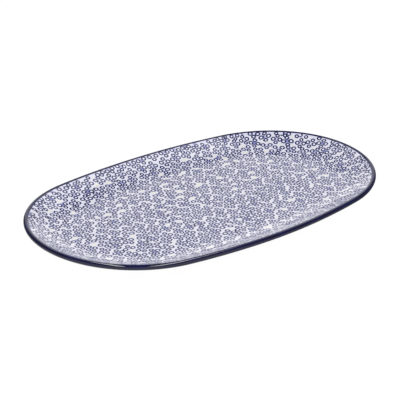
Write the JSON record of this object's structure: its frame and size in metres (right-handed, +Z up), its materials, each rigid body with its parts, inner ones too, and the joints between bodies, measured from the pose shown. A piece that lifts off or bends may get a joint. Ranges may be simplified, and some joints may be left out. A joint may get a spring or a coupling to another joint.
{
  "type": "oval plate",
  "caption": "Shallow oval stoneware serving plate with round ends, a flared wall, a dark rim band, a glazed patterned face and a foot ring.",
  "frame": {"origin": "middle of the plate's outline, on the surface that the foot ring stands on", "axes": "+X along the plate's length, +Y across it, +Z up out of the well"},
  "size_m": [0.305, 0.183, 0.0206],
  "materials": {
    "bare_stoneware": "matt fired clay",
    "patterned_glaze": "glossy, white with small blue stamped rings",
    "cobalt_glaze": "glossy, deep cobalt blue",
    "plain_glaze": "glossy, plain cream"
  },
  "bodies": {
    "root": {"stoneware_body": "bare_stoneware", "face_glaze": "patterned_glaze", "rim_band": "cobalt_glaze", "underside_glaze": "plain_glaze", "recess_glaze": "plain_glaze"}
  },
  "joints": []
}
